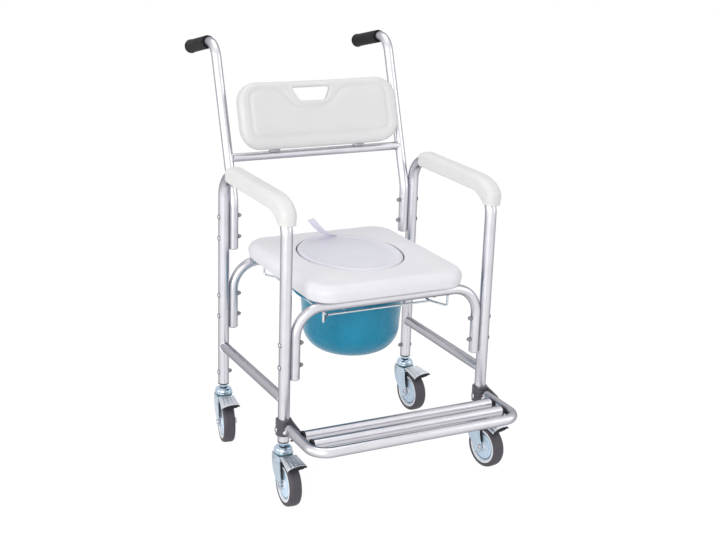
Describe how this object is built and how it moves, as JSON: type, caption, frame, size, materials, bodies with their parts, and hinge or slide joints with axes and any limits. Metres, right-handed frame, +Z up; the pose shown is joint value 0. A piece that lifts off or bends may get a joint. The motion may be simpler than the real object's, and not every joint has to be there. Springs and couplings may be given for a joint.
{
  "type": "wheeled commode chair",
  "caption": "Tube-framed commode chair on braked swivel casters, with arm pads, a folding footrest, a reclined backrest, and a padded lid over a slide-out pail.",
  "frame": {"origin": "on the floor, under the middle of the outline's width and length", "axes": "+Z up, the chair faces -Y, +X towards the sitter's left"},
  "size_m": [0.5556, 0.8069, 0.9256],
  "materials": {
    "satin aluminium": "satin",
    "zinc plate": "bright zinc plate",
    "plated wire": "dull plated",
    "white moulding": "satin",
    "white vinyl": "matt vinyl",
    "black plastic": "matt",
    "dark grey plastic": "matt",
    "grey rubber": "matt",
    "pale grey plastic": "semi-gloss",
    "teal plastic": "gloss",
    "white ribbon": "woven"
  },
  "bodies": {
    "chair": {"side_frame_right": "satin aluminium", "side_brace_right": "satin aluminium", "back_post_right": "satin aluminium", "handle_grip_right": "black plastic", "armpad_right": "white moulding", "backrest_bracket_right": "zinc plate", "footrest_clamp_right": "dark grey plastic", "footrest_pivot_bolt_right": "zinc plate", "side_frame_left": "satin aluminium", "side_brace_left": "satin aluminium", "back_post_left": "satin aluminium", "handle_grip_left": "black plastic", "armpad_left": "white moulding", "backrest_bracket_left": "zinc plate", "footrest_clamp_left": "dark grey plastic", "footrest_pivot_bolt_left": "zinc plate", "seat_bow_front": "satin aluminium", "seat_bow_rear": "satin aluminium", "back_crossbar": "satin aluminium", "backrest_panel": "white moulding", "seat_cushion": "white vinyl", "pail_rails": "plated wire", "caster_socket_front_right": "black plastic", "caster_stem_front_right": "zinc plate", "caster_socket_front_left": "black plastic", "caster_stem_front_left": "zinc plate", "caster_socket_rear_right": "black plastic", "caster_stem_rear_right": "zinc plate", "caster_socket_rear_left": "black plastic", "caster_stem_rear_left": "zinc plate"},
    "footrest": {"footrest_frame": "satin aluminium", "footrest_slat_rear": "satin aluminium", "footrest_slat_front": "satin aluminium", "slat_cap_rear_right": "black plastic", "slat_cap_rear_left": "black plastic", "slat_cap_front_right": "black plastic", "slat_cap_front_left": "black plastic"},
    "pail": {"pail": "teal plastic"},
    "lid": {"seat_lid": "white vinyl", "lid_strap": "white ribbon"},
    "swivel_front_right": {"caster_fork_front_right": "zinc plate", "caster_axle_front_right": "zinc plate"},
    "wheel_front_right": {"caster_wheel_front_right": "pale grey plastic", "caster_tyre_front_right": "grey rubber"},
    "pedal_front_right": {"brake_pedal_front_right": "dark grey plastic"},
    "swivel_front_left": {"caster_fork_front_left": "zinc plate", "caster_axle_front_left": "zinc plate"},
    "wheel_front_left": {"caster_wheel_front_left": "pale grey plastic", "caster_tyre_front_left": "grey rubber"},
    "pedal_front_left": {"brake_pedal_front_left": "dark grey plastic"},
    "swivel_rear_right": {"caster_fork_rear_right": "zinc plate", "caster_axle_rear_right": "zinc plate"},
    "wheel_rear_right": {"caster_wheel_rear_right": "pale grey plastic", "caster_tyre_rear_right": "grey rubber"},
    "pedal_rear_right": {"brake_pedal_rear_right": "dark grey plastic"},
    "swivel_rear_left": {"caster_fork_rear_left": "zinc plate", "caster_axle_rear_left": "zinc plate"},
    "wheel_rear_left": {"caster_wheel_rear_left": "pale grey plastic", "caster_tyre_rear_left": "grey rubber"},
    "pedal_rear_left": {"brake_pedal_rear_left": "dark grey plastic"}
  },
  "joints": [
    {"name": "footrest_fold", "type": "hinge", "parent": "chair", "child": "footrest", "pos_m": [0, -0.2703, 0.17], "axis": [-1, 0, 0], "range_deg": [0, 95]},
    {"name": "pail_slide", "type": "slide", "parent": "chair", "child": "pail", "axis": [0, 1, 0], "range_m": [0, 0.34]},
    {"name": "lid_lift", "type": "slide", "parent": "chair", "child": "lid", "axis": [0, 0, 1], "range_m": [0, 0.2]},
    {"name": "swivel_front_right_turn", "type": "hinge", "parent": "chair", "child": "swivel_front_right", "pos_m": [-0.244, -0.2298, 0.106], "axis": [0, 0, 1], "continuous": true},
    {"name": "wheel_front_right_spin", "type": "hinge", "parent": "swivel_front_right", "child": "wheel_front_right", "pos_m": [-0.24583, -0.26475, 0.049], "axis": [0.9986, -0.0523, 0], "continuous": true},
    {"name": "pedal_front_right_press", "type": "hinge", "parent": "swivel_front_right", "child": "pedal_front_right", "pos_m": [-0.24505, -0.24977, 0.0997], "axis": [0.9986, -0.0523, 0], "range_deg": [0, 8]},
    {"name": "swivel_front_left_turn", "type": "hinge", "parent": "chair", "child": "swivel_front_left", "pos_m": [0.244, -0.2298, 0.106], "axis": [0, 0, 1], "continuous": true},
    {"name": "wheel_front_left_spin", "type": "hinge", "parent": "swivel_front_left", "child": "wheel_front_left", "pos_m": [0.24887, -0.26446, 0.049], "axis": [0.9903, 0.1392, 0], "continuous": true},
    {"name": "pedal_front_left_press", "type": "hinge", "parent": "swivel_front_left", "child": "pedal_front_left", "pos_m": [0.24678, -0.24961, 0.0997], "axis": [0.9903, 0.1392, 0], "range_deg": [0, 8]},
    {"name": "swivel_rear_right_turn", "type": "hinge", "parent": "chair", "child": "swivel_rear_right", "pos_m": [-0.244, 0.1222, 0.106], "axis": [0, 0, 1], "continuous": true},
    {"name": "wheel_rear_right_spin", "type": "hinge", "parent": "swivel_rear_right", "child": "wheel_rear_right", "pos_m": [-0.25026, 0.08776, 0.049], "axis": [0.9839, -0.1788, 0], "continuous": true},
    {"name": "pedal_rear_right_press", "type": "hinge", "parent": "swivel_rear_right", "child": "pedal_rear_right", "pos_m": [-0.24758, 0.10252, 0.0997], "axis": [0.9839, -0.1788, 0], "range_deg": [0, 8]},
    {"name": "swivel_rear_left_turn", "type": "hinge", "parent": "chair", "child": "swivel_rear_left", "pos_m": [0.244, 0.1222, 0.106], "axis": [0, 0, 1], "continuous": true},
    {"name": "wheel_rear_left_spin", "type": "hinge", "parent": "swivel_rear_left", "child": "wheel_rear_left", "pos_m": [0.24644, 0.08729, 0.049], "axis": [0.9976, 0.0698, 0], "continuous": true},
    {"name": "pedal_rear_left_press", "type": "hinge", "parent": "swivel_rear_left", "child": "pedal_rear_left", "pos_m": [0.2454, 0.10225, 0.0997], "axis": [0.9976, 0.0698, 0], "range_deg": [0, 8]}
  ]
}
